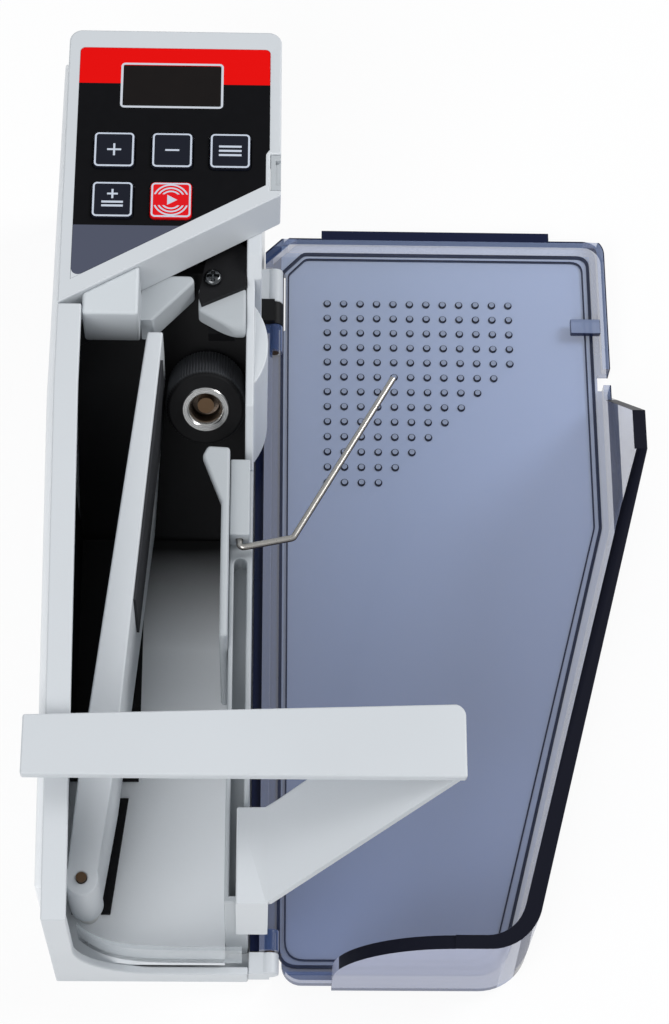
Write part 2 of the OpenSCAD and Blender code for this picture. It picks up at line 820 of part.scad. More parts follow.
// The pin that the lever turns on
module lever_pin() {
    color("peru") translate([pivot[0], pivot[1], pin_low]) cylinder(d = lever_pin_d, h = pin_top - pin_low);
}

// The coiled spring round the pin under the lever
module lever_spring() {
    color("silver") translate([pivot[0], pivot[1], floor_z]) difference() {
        cylinder(d = spring_d, h = lever_low - floor_z - 0.4);
        translate([0, 0, -1]) cylinder(d = lever_pin_d + 1, h = lever_low);
    }
}

// Wire finger

// The bent steel wire that steadies the counted notes, with mitred corners
module wire_finger() {
    start = [wire_at[0], bush_y[1] - 1];
    corner = [wire_at[0], wire_start_y];
    tip = [wire_at[0] + wire_reach, wire_corner[1] + wire_rise];
    run_1 = wire_corner - corner;
    run_2 = tip - wire_corner;
    head_0 = -90;
    head_1 = atan2(run_1[1], run_1[0]);
    head_2 = atan2(run_2[1], run_2[0]);
    miter_1 = (head_0 + head_1) / 2;
    miter_2 = (head_1 + head_2) / 2;
    color("silver") translate([0, 0, wire_at[1]]) {
        difference() {
            wire_straight(start, corner);
            wire_side(start, head_0, false);
            wire_side(corner, miter_1, true);
        }
        difference() {
            wire_straight(corner, wire_corner);
            wire_side(corner, miter_1, false);
            wire_side(wire_corner, miter_2, true);
        }
        difference() {
            wire_straight(wire_corner, tip);
            wire_side(wire_corner, miter_2, false);
            wire_side(tip, head_2, true);
        }
    }
}

// The bush that the wire turns in, on top of the hopper's right wall
module wire_bush() {
    color("whitesmoke") difference() {
        block([wire_at[0] - bush_w / 2, bush_y[0], hopper_wall_z],
            [wire_at[0] + bush_w / 2, bush_y[1], bush_top]);
        y_bar(wire_at[0], wire_at[1], bush_y[0] - 1, bush_y[1] + 1, wire_d + 2 * run_fit);
    }
}

// Note bracket

// The white bracket: a foot that straddles the wall, a rising wing and a bar across the hopper
module note_bracket() {
    gap = 0.4;
    taper = 4;
    end_r = 3.5;
    bar_left = bar_right - bar_l;
    color("whitesmoke") {
        block([foot_left, foot_y, hopper_wall_z + gap], [foot_right, foot_back, foot_top]);
        block([base_right + gap, foot_y, foot_low], [foot_right, foot_back, foot_top]);
        block([foot_left, foot_y, foot_low], [foot_right, hopper_front - gap, foot_top]);
        block([foot_left, hopper_front + 2 + gap, hopper_wall_z - track_deep + gap],
            [track_x[1] - gap, foot_back, foot_top]);
        bracket_wing();
        translate([0, 0, bar_z - bracket_t]) linear_extrude(bracket_t) difference() {
            polygon([[bar_left, bar_y], [bar_right, bar_y], [bar_right, bar_y + bar_w + taper],
                [bar_left, bar_y + bar_w]]);
            translate([bar_right, bar_y + bar_w + taper]) difference() {
                square(2 * end_r, center = true);
                translate([-end_r, -end_r]) circle(end_r);
            }
        }
    }
}

// The wing that rises from the foot to the bar's right end
module bracket_wing() {
    function along(x) = (x - foot_right) / cos(wing_angle);
    inset = 2.6;
    short = 2.5;
    edge = 0.6;
    translate([foot_right, 0, foot_top])
        rotate([0, -wing_angle, 0])
            translate([0, 0, -bracket_t]) linear_extrude(bracket_t)
                polygon([
                    [along(foot_right - inset), foot_y + edge], [0, foot_y + edge],
                        [along(bar_right - short), bar_y + edge],
                    [along(bar_right - short), bar_y + bar_w - 2], [along(bar_right - 28), bar_y + bar_w - 2],
                    [along(foot_right + 2.4), foot_back + 2], [along(foot_right - inset), foot_back - edge]
                ]);
}

// Tray

// The tray's outline seen from above, drawn in by an inset, with a round far corner
module tray_outline(inset) {
    x0 = tray_left + inset;
    x1 = tray_right - inset;
    xc = tray_corner_x - inset;
    y0 = tray_front_y + inset;
    y1 = tray_back_y - inset;
    chamfer = 8;
    lean = atan(slope);
    r = corner_r - inset;
    back_r = 7 - inset;
    // The round corner touches the front edge and the slanted edge this far from the sharp corner
    touch = r * tan(45 - lean / 2);
    difference() {
        polygon([[x0, y0], [xc, y0], [x1, kink_y], [x1, y1], [x0 + chamfer, y1], [x0, y1 - chamfer]]);
        translate([xc, y0]) difference() {
            polygon([[-touch, 0], [touch, -touch], [touch * sin(lean), touch * cos(lean)], [-touch, r]]);
            translate([-touch, r]) circle(r);
        }
        translate([x1, y1]) difference() {
            square(2 * back_r, center = true);
            translate([-back_r, -back_r]) circle(back_r);
        }
    }
}

// The clear receiving tray with its tall far wall and its swept front wall
module tray() {
    clear = hinge_gap;
    lip_x = base_right + 0.5;
    lip_h = 2;
    front_r = 6;
    notch_in = tray_t + 1.3;
    notch_y = [tray_end_y + 1.3, tray_end_y + 7.3];
    color("lightsteelblue", 0.6) difference() {
        union() {
            translate([0, 0, tray_z]) linear_extrude(tray_t) tray_outline(0);
            intersection() {
                tray_ring(tray_low, 0);
                block([tray_left - 1, tray_front_y - 1, 0], [tray_right + 1, tray_back_y - tray_t, tray_low]);
            }
            tray_ring(tray_floor + back_rim, 0);
            intersection() {
                tray_ring(tray_wall, tray_over);
                side_plate(shoulder_x - shoulder_r, tray_right + 3, [
                    [tray_front_y - 3, tray_z], [tray_front_y - 3, tray_front], [kink_y, tray_wall],
                    [tray_end_y - (tray_wall - tray_z) * tan(head_slant), tray_wall], [tray_end_y, tray_z]
                ]);
                shoulder_cut();
            }
            block([tray_left + 19, tray_back_y - 0.5, tray_z],
                [tray_left + 96.5, tray_back_y + 3, tray_floor + back_rim]);
            block([lip_x, knuckle_front[1] + clear, hinge_z - lip_h / 2],
                [tray_left + 1, knuckle_back[1] - clear, hinge_z + lip_h / 2]);
            tray_knuckle(knuckle_back[0], knuckle_back[1] - clear);
            tray_knuckle(knuckle_front[1] + clear, knuckle_front[0]);
        }
        hinge_relief(knuckle_back[1] - clear, knuckle_back[3] + clear);
        hinge_relief(tray_front_y - 1, knuckle_front[1] + clear);
        block([tray_right - notch_in, notch_y[0], tray_z - 1], [tray_right + 3, notch_y[1], tray_low + 1]);
        translate([relief_x, tray_front_y, 0]) linear_extrude(tray_low + 1) difference() {
            square(2 * front_r, center = true);
            translate([front_r, front_r]) circle(front_r);
        }
        y_bar(hinge_x, hinge_z, knuckle_back[0] - 1, knuckle_back[1] + 1, hinge_d + 2 * run_fit);
        y_bar(hinge_x, hinge_z, knuckle_front[1] - 1, knuckle_front[0] + 1, hinge_d + 2 * run_fit);
    }
}

// The tray's wall all round, up to a height, set out over the floor's edge
module tray_ring(z, over) {
    translate([0, 0, tray_z]) linear_extrude(z - tray_z) difference() {
        tray_outline(-over);
        tray_outline(tray_t);
    }
}

// The room under the front wall's swept top edge
module shoulder_cut() {
    translate([0, tray_back_y, 0])
        rotate([90, 0, 0]) linear_extrude(tray_back_y - tray_front_y + 3) {
            translate([shoulder_x, tray_z]) square([tray_w, tray_wall]);
            translate([shoulder_x, tray_front - shoulder_r]) circle(shoulder_r);
            translate([shoulder_x - shoulder_r, tray_z])
                square([shoulder_r, tray_front - shoulder_r - tray_z]);
        }
}

// A barrel of the tray round a hinge pin
module tray_knuckle(y0, y1) {
    y_bar(hinge_x, hinge_z, y0, y1, 2 * knuckle_r);
}

// The room that the base's hinge arms take in the tray
module hinge_relief(y0, y1) {
    block([tray_left - 2, y0, tray_z - 1], [relief_x, y1, tray_low + 1]);
}

// The tongue on the tray's low rim that snaps into the head's catch
module tray_latch() {
    tongue_l = 10;
    x1 = tray_right - tray_t;
    color("lightsteelblue", 0.6) block([x1 - tongue_l, catch_y[0] + 5.2, tray_low - 2.4],
        [x1, catch_y[1] - 1.9, tray_low]);
}

// The two pins that the tray turns on
module hinge_pins() {
    color("saddlebrown") {
        y_bar(hinge_x, hinge_z, knuckle_back[0], knuckle_back[3] - 2, hinge_d);
        y_bar(hinge_x, hinge_z, knuckle_front[3] + 2, knuckle_front[0], hinge_d);
    }
}

// The black spacer on the back hinge pin
module hinge_block() {
    color("black") difference() {
        union() {
            block([base_right + seat_fit, knuckle_back[1], tray_z],
                [hinge_x, knuckle_back[2] - seat_fit, tray_low + 2]);
            y_bar(hinge_x, hinge_z, knuckle_back[1], knuckle_back[2] - seat_fit, 2 * knuckle_r);
        }
        y_bar(hinge_x, hinge_z, knuckle_back[1] - 1, knuckle_back[2] + 1, hinge_d);
    }
}

// The catch in the head's right edge that the tray's tongue snaps into
module latch_catch() {
    color("gainsboro") difference() {
        block([right_x - catch_w + seat_fit, catch_y[0] + seat_fit, body_h - catch_t],
            [right_x, catch_y[1] - seat_fit, body_h - 0.4]);
        block([right_x - 1.6, catch_y[0] + 2, body_h - catch_t + 0.8], [right_x + 1, catch_y[1] - 2, body_h]);
    }
}

// Power and fasteners

// The open holder for the cells
module battery_holder() {
    color("black") difference() {
        block([inner_left + seat_fit, door_y - 2, base_top],
            [base_right - wall - seat_fit, back_y - wall - seat_fit, base_top + cell_d + holder_t]);
        block([cell_x - 0.2, door_y - 2 + holder_t, base_top - 1],
            [cell_x + cell_l + 0.2, back_y - wall - seat_fit - holder_t, base_top + cell_d + 0.2]);
    }
}

// The four cells side by side
module batteries() {
    color("steelblue") for (i = [0:cell_n - 1])
        translate([cell_x, cell_y + i * cell_pitch, base_top + cell_d / 2])
            rotate([0, 90, 0]) cylinder(d = cell_d - 0.2, h = cell_l);
}

// The door under the cells, which slides out at the back
module battery_door() {
    color("whitesmoke") {
        block([door_x[0], door_y + seat_fit, 0], [door_x[1], back_y, base_top - 0.3]);
        block([door_x[0] - rail_in, door_y + seat_fit, rail_z[0]], [door_x[1] + rail_in, back_y, rail_z[1]]);
    }
}

// The power inlet in the back wall
module dc_jack() {
    body = 9;
    deep = 11;
    color("black") translate([jack_x, back_y, jack_z]) difference() {
        union() {
            rotate([90, 0, 0]) cylinder(d = 8, h = wall + 0.5);
            translate([-body / 2, -wall - deep, -body / 2]) cube([body, deep, body]);
        }
        translate([0, 1, 0]) rotate([90, 0, 0]) cylinder(d = 5.5, h = 9);
    }
}

// The places of the four rubber pads under the base
module pads(d, h) {
    inset = 9;
    for (x = [left_x + inset, base_right - inset], y = [front_y + inset, door_y - inset])
        translate([x, y, 0]) cylinder(d = d, h = h);
}

// The four rubber pads
module feet() {
    color("dimgray") pads(pad_d, pad_h);
}

// The pan-head screw in the feed's cap
module guide_screw() {
    color("silver") translate([screw_at[0], screw_at[1], cap_z + cap_t]) {
        cylinder(d = 5.6, h = 2);
        translate([0, 0, -cap_t]) cylinder(d = screw_d, h = cap_t);
    }
}

// The screws that hold the board to the head's posts
module board_screws() {
    color("silver") for (p = post_at)
        translate([p[0], p[1], board_z]) {
            translate([0, 0, -1.4]) cylinder(d = 4, h = 1.4);
            cylinder(d = screw_d, h = board_t + 4);
        }
}

base_shell();
left_side_cover();
head_cover();
feed_housing();
hopper_right_wall();
hopper_floor();
hopper_liner();
front_guide();
left_guide();
upper_guide();
lower_guide();
feed_cap();
panel_overlay();
display_window();
display_module();
control_board();
key_switches();
key_plus();
key_minus();
key_batch();
key_add();
key_start();
feed_plate();
motor();
shaft_bush();
motor_shaft();
roller_hub();
feed_roller();
count_sensor();
press_lever();
lever_pad();
lever_pin();
lever_spring();
wire_finger();
wire_bush();
note_bracket();
tray();
tray_latch();
hinge_pins();
hinge_block();
latch_catch();
battery_holder();
batteries();
battery_door();
dc_jack();
feet();
guide_screw();
board_screws();
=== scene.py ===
import json
import math

import bmesh
import bpy
from mathutils import Matrix, Vector


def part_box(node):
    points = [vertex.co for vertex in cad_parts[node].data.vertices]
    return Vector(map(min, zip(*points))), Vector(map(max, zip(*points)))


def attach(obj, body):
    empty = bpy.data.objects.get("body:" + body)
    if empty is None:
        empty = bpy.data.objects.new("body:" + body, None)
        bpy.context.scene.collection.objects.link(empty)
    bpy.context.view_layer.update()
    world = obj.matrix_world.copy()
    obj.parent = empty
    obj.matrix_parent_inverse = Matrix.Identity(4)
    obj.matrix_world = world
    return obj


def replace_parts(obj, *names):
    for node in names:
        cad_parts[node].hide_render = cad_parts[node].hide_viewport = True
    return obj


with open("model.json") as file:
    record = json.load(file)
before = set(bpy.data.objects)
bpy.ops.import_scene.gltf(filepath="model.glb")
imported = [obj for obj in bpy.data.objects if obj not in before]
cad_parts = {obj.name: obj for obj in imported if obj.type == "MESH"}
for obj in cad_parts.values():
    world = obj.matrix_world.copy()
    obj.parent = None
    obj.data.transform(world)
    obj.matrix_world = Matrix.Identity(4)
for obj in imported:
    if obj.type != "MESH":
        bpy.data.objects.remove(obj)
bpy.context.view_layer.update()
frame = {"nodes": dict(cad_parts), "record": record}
scene = bpy.context.scene

# Places and sizes are in millimetres, and colours in screen values from 0 to 255.
MM = 0.001
ROLLER_AT = Vector((10.4, 25.1, 65.0))
ROLLER_LEAN = math.radians(50)
# Left of this the guide under the head is a low shelf.
GUIDE_SHELF_X = -9.0
# The panel: the slant of its lower edge, its round corner, its bands and its window's frame.
HEAD_SLANT = math.radians(30)
LABEL_ROUND = 2.0
RED_FROM_Y = 115.6
SLATE_TO_Y = 65.6
WINDOW_AT = (-0.8, 115.0)
# The tray: where its right side bends, and how far it leans in for each millimetre towards the front.
TRAY_KINK = (138.4, 13.8)
TRAY_SLOPE = 0.2568
# The tray: its step at the back, its hinge side, its lip, its front band and the top of its low part.
TRAY_STEP_Y = 115.6
TRAY_HINGE_X = 33.6
TRAY_LIP_X = 28.3
TRAY_FRONT_Y = -131.0
TRAY_LOW_Z = 12.0
TRAY_CORNER = (136.2, 114.3)


def linear(red, green, blue):
    """A colour given in screen values from 0 to 255, as the shader takes it."""
    def channel(v):
        v /= 255
        return v / 12.92 if v <= 0.04045 else ((v + 0.055) / 1.055) ** 2.4
    return (channel(red), channel(green), channel(blue), 1.0)


# Finishes

class Signal:
    """A node's output that takes part in Python expressions."""

    def __init__(self, graph, socket):
        self.graph = graph
        self.socket = socket

    def calc(self, operation, a, b=0.0):
        return self.graph.node("ShaderNodeMath", {"operation": operation}, {0: a, 1: b})

    def __add__(self, other): return self.calc("ADD", self, other)
    def __radd__(self, other): return self.calc("ADD", other, self)
    def __sub__(self, other): return self.calc("SUBTRACT", self, other)
    def __rsub__(self, other): return self.calc("SUBTRACT", other, self)
    def __mul__(self, other): return self.calc("MULTIPLY", self, other)
    def __rmul__(self, other): return self.calc("MULTIPLY", other, self)
    def __lt__(self, other): return self.calc("LESS_THAN", self, other)
    def __gt__(self, other): return self.calc("GREATER_THAN", self, other)
    def __or__(self, other): return self.calc("MAXIMUM", self, other)
    def __and__(self, other): return self.calc("MULTIPLY", self, other)
    def __abs__(self): return self.calc("ABSOLUTE", self)
    def root(self): return self.calc("SQRT", self)
    def wave(self, pitch): return 0.5 + 0.5 * self.calc("SINE", self * (2 * math.pi / pitch))

    def ramp(self, low, high):
        """Nothing up to low, one from high on, and a straight run between."""
        return self.graph.node("ShaderNodeMapRange", None,
                               {"Value": self, "From Min": low, "From Max": high})


class Graph:
    """A node tree to which nodes are added one by one."""

    def __init__(self, tree):
        self.tree = tree

    def node(self, kind, settings=None, values=None, output=0):
        node = self.tree.nodes.new(kind)
        for key, value in (settings or {}).items():
            setattr(node, key, value)
        for key, value in (values or {}).items():
            self.feed(node.inputs[key], value)
        return Signal(self, node.outputs[output])

    def feed(self, socket, value):
        if isinstance(value, Signal):
            self.tree.links.new(value.socket, socket)
        else:
            socket.default_value = value

    def ray(self, *kinds):
        """One for any of the kinds of ray, else nothing."""
        outputs = self.node("ShaderNodeLightPath").socket.node.outputs
        seen = Signal(self, outputs[kinds[0]])
        for kind in kinds[1:]:
            seen = seen | Signal(self, outputs[kind])
        return seen


class Finish(Graph):
    """A material round one Principled shader."""

    def __init__(self, name):
        self.material = bpy.data.materials.new(name)
        self.material.use_nodes = True
        super().__init__(self.material.node_tree)
        self.shader = self.tree.nodes["Principled BSDF"]

    def set(self, **values):
        for key, value in values.items():
            self.feed(self.shader.inputs[key.replace("_", " ")], value)
        return self

    def place(self):
        """Where a point lies on the object at rest, in metres."""
        return self.node("ShaderNodeTexCoord", output="Object")

    def axes(self, origin=(0, 0, 0)):
        """The three coordinates in millimetres, from an origin in millimetres."""
        at = self.place()
        parts = self.node("ShaderNodeSeparateXYZ", None, {0: at}).socket.node.outputs
        return [Signal(self, parts[i]) * 1000.0 - float(origin[i]) for i in range(3)]

    def facing(self, axis):
        """How far the surface faces along an axis of the object."""
        normal = self.node("ShaderNodeTexCoord", output="Normal")
        parts = self.node("ShaderNodeSeparateXYZ", None, {0: normal}).socket.node.outputs
        return Signal(self, parts[axis])

    def noise(self, scale, detail=3.0, stretch=None):
        at = self.place()
        if stretch:
            at = self.node("ShaderNodeMapping", None, {"Vector": at, "Scale": stretch})
        return self.node("ShaderNodeTexNoise", None, {"Vector": at, "Scale": scale, "Detail": detail})

    def mix(self, amount, first, second):
        return self.node("ShaderNodeMix", {"data_type": "RGBA"},
                         {"Factor": amount, 6: first, 7: second}, 2)

    def bump(self, height, strength, distance):
        self.set(Normal=self.node("ShaderNodeBump", None,
                                  {"Strength": strength, "Distance": distance, "Height": height}))
        return self


def shade(colour, amount):
    """A colour made darker or paler."""
    return tuple(min(1.0, c * amount) for c in colour[:3]) + (1.0,)


def moulded(name, colour, rough=0.42, grain=0.12, drift=0.04, shine=0.4):
    """Injection-moulded plastic: a fine grain, a slow drift of tone and some duller patches."""
    f = Finish(name)
    slow = f.noise(18.0)
    fine = f.noise(1400.0, 2.0)
    f.set(Base_Color=f.mix(slow, shade(colour, 1 - drift), shade(colour, 1 + drift)))
    f.set(Roughness=rough - 0.06 + 0.12 * f.noise(60.0), Specular_IOR_Level=shine)
    return f.bump(fine, grain, 0.0002).material


def turned_steel(name, colour, rough=0.22):
    """Steel with fine lines left by turning."""
    f = Finish(name)
    lines = f.noise(500.0, 2.0, (1.0, 1.0, 6.0))
    f.set(Base_Color=f.mix(lines, shade(colour, 0.86), colour), Metallic=1.0)
    f.set(Roughness=rough + 0.18 * lines)
    return f.bump(lines, 0.08, 0.0001).material


def wire_finish():
    """Bent steel wire, with a painted highlight along its top and a painted brown reflection at its
    sides.
    """
    f = Finish("wire_steel")
    # Painted: faces turned up get the highlight, faces turned sideways the dark brown reflection.
    top_painted_highlight = f.facing(2).ramp(0.3, 0.9)
    lines = f.noise(500.0, 2.0)
    f.set(Base_Color=f.mix(top_painted_highlight, linear(84, 74, 66), linear(204, 200, 194)), Metallic=1.0)
    f.set(Roughness=0.22 + 0.14 * lines)
    return f.bump(lines, 0.06, 0.0001).material


def about_roller(f):
    """How far a point lies from the roller's axis, and where along it, in millimetres."""
    x, y, z = f.axes(ROLLER_AT)
    across = y * math.cos(ROLLER_LEAN) + z * math.sin(ROLLER_LEAN)
    along = z * math.cos(ROLLER_LEAN) - y * math.sin(ROLLER_LEAN)
    return (x * x + across * across).root(), along


def hub_finish():
    """The turned hub: fine rings on its end, and painted shade darkening it down its bore."""
    f = Finish("hub_steel")
    far, along = about_roller(f)
    # Painted shade: dark brown down the bore, where light doesn't reach.
    painted_bore_shade = along.ramp(-3.0, -6.0) & far.ramp(5.0, 4.2)
    rings = far.wave(0.5)
    end = f.mix(rings, linear(190, 189, 187), linear(224, 223, 221))
    f.set(Base_Color=f.mix(painted_bore_shade, end, linear(88, 78, 70)), Metallic=1.0)
    f.set(Roughness=0.2 + 0.1 * f.noise(300.0))
    return f.bump(rings, 0.1, 0.0001).material


def tyre_finish():
    """The roller's rubber: a dust mottle on its ribs, which are painted paler as painted light, and its
    end painted near black as painted shade.
    """
    f = Finish("tyre_rubber")
    far, along = about_roller(f)
    dust = f.noise(90.0, 5.0)
    # The ribs' dust mottle is real; their paler tone is painted light for the light falling on them.
    ribs = f.mix(dust, linear(48, 49, 52), linear(76, 78, 82))
    # Painted shade: the end of the roller is kept near black against the light falling on it.
    f.set(Base_Color=f.mix(along.ramp(-1.8, -0.8), ribs, linear(15, 15, 17)))
    f.set(Roughness=0.6 + 0.2 * dust, Specular_IOR_Level=0.2)
    return f.bump(f.noise(900.0), 0.25, 0.0002).material


def floor_plate_finish():
    """The hopper's floor, with painted shade darkening it towards the ramp by the roller."""
    f = Finish("pale_floor")
    y = f.axes()[1]
    # Painted shade: the floor turns near black towards the roller, where the head shades it.
    unshaded_share = (y + 4.0 * f.noise(40.0)).ramp(4.0, -30.0)
    f.set(Base_Color=f.mix(unshaded_share, linear(12, 12, 13), linear(240, 243, 246)))
    f.set(Roughness=0.44 + 0.12 * f.noise(60.0), Specular_IOR_Level=0.3)
    return f.bump(f.noise(1400.0, 2.0), 0.12, 0.0002).material


def guide_finish():
    """The guide under the head, with painted shade darkening its shelf where it goes down into the
    hopper.
    """
    f = Finish("guide_white")
    x, y, z = f.axes()
    shelf = x < GUIDE_SHELF_X
    # Painted shade: the shelf darkens towards its foot, deep in the hopper.
    painted_shelf_shade = z.ramp(103.6, 85.0) & shelf
    upper = f.mix(f.noise(18.0), linear(202, 207, 211), linear(210, 215, 219))
    tone = f.mix(shelf, linear(180, 185, 189), upper)
    f.set(Base_Color=f.mix(painted_shelf_shade, tone, linear(16, 16, 17)))
    f.set(Roughness=0.44 + 0.12 * f.noise(60.0), Specular_IOR_Level=0.4)
    return f.bump(f.noise(1400.0, 2.0), 0.12, 0.0002).material


def soft_rubber(name, colour):
    """Matt rubber with a dusty tone and a coarse grain."""
    f = Finish(name)
    dust = f.noise(90.0, 5.0)
    f.set(Base_Color=f.mix(dust, colour, shade(colour, 2.2)))
    f.set(Roughness=0.68 + 0.2 * dust, Specular_IOR_Level=0.3)
    return f.bump(f.noise(900.0), 0.25, 0.0002).material


def frame_line(x, y, half_w, half_h, radius, line):
    """A line round a rectangle with round corners."""
    across = (abs(x) - (half_w - radius)) | 0.0
    along = (abs(y) - (half_h - radius)) | 0.0
    far = (across * across + along * along).root()
    return (far < radius) & (far > radius - line)


def bar(x, y, half_w, half_h):
    """A filled rectangle round the middle."""
    return (abs(x) < half_w) & (abs(y) < half_h)


WHITE = linear(207, 211, 215)
BLACK = linear(20, 20, 22)
INK = linear(200, 208, 221)
RED = linear(230, 5, 3)

white_shell = moulded("white_shell", WHITE)
white_inside = moulded("white_inside", linear(180, 185, 189), 0.5)
black_moulding = moulded("black_moulding", BLACK, 0.55, 0.2, 0.2, 0.2)
black_rubber = soft_rubber("black_rubber", linear(34, 35, 38))
bright_steel = turned_steel("bright_steel", linear(222, 221, 218))
# The screw's steel is painted dark: painted shade for the shadow its head sits in.
shaded_steel = turned_steel("shaded_steel", linear(104, 106, 108), 0.16)
pin_brass = turned_steel("pin_brass", linear(112, 90, 70), 0.34)
green_board = moulded("green_board", linear(24, 88, 52), 0.35)
cell_sleeve = moulded("cell_sleeve", linear(60, 84, 120), 0.3)



def tray_finish():
    """Smoke-blue clear plastic, paler in the walls and outside the step; painted black along its thick
    rims and outer edges, a painted gradient, and painted shade on its lip.
    """
    f = Finish("tray_smoke")
    x, y, z = f.axes()
    up = f.facing(2)
    rim = (up > 0.3) & (z > TRAY_LOW_Z)
    wall = (z > 5.4) & (abs(up) < 0.45)
    far = x + (TRAY_SLOPE * (TRAY_KINK[1] - y) | 0.0)
    border = (far > TRAY_KINK[0]) | (y > TRAY_STEP_Y)
    hinge_side = (x < TRAY_HINGE_X) | ((y < TRAY_FRONT_Y) & (z < TRAY_LOW_Z))
    lip = x < TRAY_LIP_X
    corner_x, corner_y = (x - TRAY_CORNER[0]) | 0.0, (y - TRAY_CORNER[1]) | 0.0
    corner = (corner_x * corner_x + corner_y * corner_y).root() > 6.4
    corner = corner & (y > TRAY_CORNER[1]) & (x > TRAY_CORNER[0])
    straight = (y > 120.7) | ((far > 142.6) & (z < TRAY_LOW_Z))
    brink = straight | ((y - x) > 84.3) | corner
    slow = f.noise(9.0, 2.0)
    # Painted gradient: the tray darkens towards the front, standing in for the reflected light across
    # it.
    painted_gradient = y.ramp(110.0, -110.0)
    tone = f.mix(painted_gradient, linear(134, 154, 192), linear(82, 101, 146))
    tone = f.mix(0.5 * far.ramp(70.0, 138.0), tone, linear(166, 184, 226))
    tone = f.mix(slow * 0.3, tone, linear(128, 142, 174))
    tone = f.mix(hinge_side, tone, linear(66, 84, 126))
    tone = f.mix(border, tone, linear(146, 162, 200))
    tone = f.mix(wall, tone, linear(180, 186, 212))
    # Painted: the outer edges are dark for the refraction in the clear plastic, and the lip by the
    # housing gets painted shade for the gap beside it.
    tone = f.mix(brink | lip, tone, linear(24, 30, 56))
    # Painted: the rims' black stands in for refraction in the thick clear plastic.
    tone = f.mix(rim, tone, linear(12, 14, 28))
    f.set(Base_Color=tone, Roughness=0.14 + 0.06 * slow + 0.3 * rim, Specular_IOR_Level=0.14)
    f.set(Alpha=0.6 + 0.1 * painted_gradient - 0.16 * border - 0.1 * wall + 0.3 * lip + brink + rim)
    return f.bump(f.noise(30.0, 2.0), 0.03, 0.0005).material


def tray_line_finish():
    """The same plastic where a step is seen edge on, painted dark for the refraction that darkens a
    step in clear plastic.
    """
    f = Finish("tray_edge")
    f.set(Base_Color=f.mix(f.noise(40.0), linear(22, 27, 46), linear(44, 52, 80)), Roughness=0.15)
    f.set(Alpha=0.8 + 0.1 * f.noise(15.0))
    return f.material


def tongue_finish():
    """The tray's plastic on its tongue, its sides painted dark for the refraction at its edges."""
    f = Finish("tray_tongue")
    top = f.facing(2).ramp(0.5, 0.9)
    f.set(Base_Color=f.mix(top, linear(38, 46, 76), linear(142, 156, 190)))
    f.set(Roughness=0.16 + 0.06 * f.noise(60.0), Alpha=0.9 - 0.3 * top, Specular_IOR_Level=0.14)
    return f.material


def dot_finish():
    """The raised dots: painted dark round their feet for the refraction at their sloping sides, and
    clear on top.
    """
    f = Finish("tray_dot")
    flat = abs(f.facing(2)).ramp(0.75, 0.95)
    f.set(Base_Color=f.mix(flat, linear(16, 20, 38), linear(160, 172, 198)))
    f.set(Roughness=0.18 + 0.06 * f.noise(200.0), Alpha=0.95 - 0.45 * flat)
    return f.material


def film_finish():
    """Thin clear strip with a faint mottle."""
    f = Finish("clear_strip")
    mottle = f.noise(120.0)
    f.set(Base_Color=f.mix(mottle, linear(196, 204, 210), linear(222, 228, 232)), Roughness=0.12)
    f.set(Alpha=0.28 + 0.08 * mottle)
    return f.material


def overlay_finish():
    """The printed panel: a red band, a black field and a slate field."""
    f = Finish("panel_print")
    x, y, z = f.axes()
    red = y > RED_FROM_Y
    slate = y < SLATE_TO_Y
    paper = f.noise(300.0)
    field = f.mix(paper, linear(9, 9, 12), linear(14, 14, 17))
    field = f.mix(slate, field, linear(80, 84, 100))
    field = f.mix(red, field, RED)
    window = frame_line(x - WINDOW_AT[0], y - WINDOW_AT[1], 15.6, 8.1, 1.3, 0.7)
    field = f.mix(window, field, linear(204, 208, 216))
    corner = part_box("panel_overlay")[0] / MM
    across = x - (corner.x + LABEL_ROUND)
    along = y - (corner.y + LABEL_ROUND * (math.tan(HEAD_SLANT) + 1 / math.cos(HEAD_SLANT)))
    before = (across * math.cos(HEAD_SLANT) + along * math.sin(HEAD_SLANT)) < 0.0
    outside = ((across * across + along * along).root() > LABEL_ROUND) & (along < 0.0) & before
    field = f.mix(outside, field, WHITE)
    f.set(Base_Color=field, Roughness=0.4 + 0.08 * paper, Specular_IOR_Level=0.1)
    return f.bump(f.noise(1200.0), 0.05, 0.0001).material


def lens_finish():
    """Dark polished window with a faint haze."""
    f = Finish("display_lens")
    haze = f.noise(160.0)
    tone = f.mix(haze, linear(21, 18, 18), linear(26, 22, 21))
    f.set(Base_Color=tone, Roughness=0.26 + 0.08 * haze, Specular_IOR_Level=0.12)
    return f.material


def key_finish(name, at, face, mark):
    """A printed key: its face, a pale line round it and a plain mark."""
    f = Finish(name)
    x, y, z = f.axes((at[0], at[1], 0))
    top = f.facing(2) > 0.5
    line = frame_line(x, y, 5.9, 5.9, 1.3, 0.55)
    ink = (line | mark(x, y)) & top
    tone = f.mix(f.noise(200.0), shade(face, 0.92), shade(face, 1.08))
    f.set(Base_Color=f.mix(ink, tone, INK))
    f.set(Roughness=0.36 + 0.08 * f.noise(90.0), Specular_IOR_Level=0.15)
    return f.bump(f.noise(1200.0), 0.06, 0.0001).material


def plus_mark(x, y):
    return bar(x, y, 2.1, 0.3) | bar(x, y, 0.3, 2.1)


def minus_mark(x, y):
    return bar(x, y, 2.1, 0.3)


def stack_mark(x, y):
    return bar(x, y, 3.4, 0.35) | bar(x, y - 1.5, 3.4, 0.35) | bar(x, y + 1.5, 3.4, 0.35)


def add_mark(x, y):
    lines = bar(x, y + 2.2, 3.2, 0.35) | bar(x, y + 0.9, 3.2, 0.35)
    return lines | bar(x, y - 1.9, 1.6, 0.3) | bar(x, y - 1.9, 0.3, 1.6)


